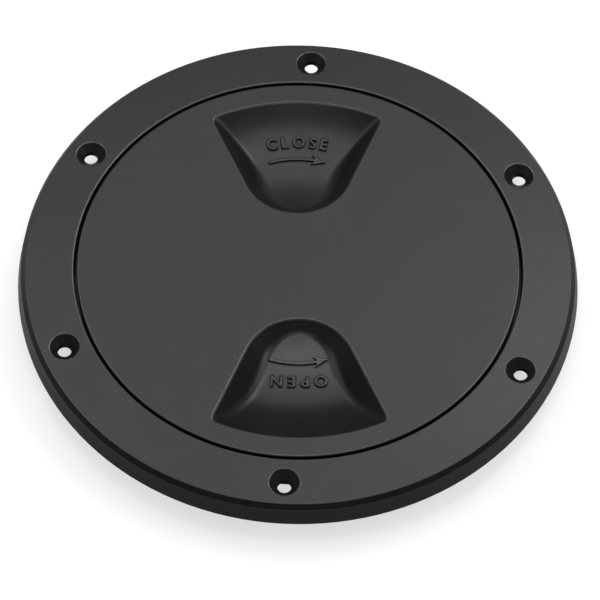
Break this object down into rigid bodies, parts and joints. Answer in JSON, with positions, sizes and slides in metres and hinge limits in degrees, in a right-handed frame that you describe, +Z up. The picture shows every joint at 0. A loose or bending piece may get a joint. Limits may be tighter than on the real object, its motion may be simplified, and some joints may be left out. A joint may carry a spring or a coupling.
{
  "type": "deck inspection plate",
  "caption": "Round screw-in deck inspection plate: a flanged ring with countersunk screw holes, a threaded lid with two scooped finger pockets, and a seal ring between them.",
  "frame": {"origin": "on the lid's axis, in the plane of the deck that the flange sits on", "axes": "+Z up out of the deck along the lid's axis, +Y towards the screw beside the pocket marked for closing"},
  "size_m": [0.203, 0.203, 0.02],
  "materials": {
    "ring_plastic": "satin black moulding",
    "lid_plastic": "satin black moulding",
    "seal_rubber": "matt black rubber"
  },
  "bodies": {
    "ring": {"deck_ring": "ring_plastic"},
    "seal": {"seal_ring": "seal_rubber"},
    "cover": {"lid": "lid_plastic"}
  },
  "joints": [
    {"name": "lid_rise", "type": "slide", "parent": "ring", "child": "seal", "axis": [0, 0, 1], "range_m": [0, 0.00625]},
    {"name": "lid_turn", "type": "hinge", "parent": "seal", "child": "cover", "pos_m": [0, 0, 0], "axis": [0, 0, 1], "range_deg": [0, 450]}
  ],
  "couplings": [
    {"joint": "lid_rise", "follows": "lid_turn", "m_per_rad": 0.00079577}
  ]
}
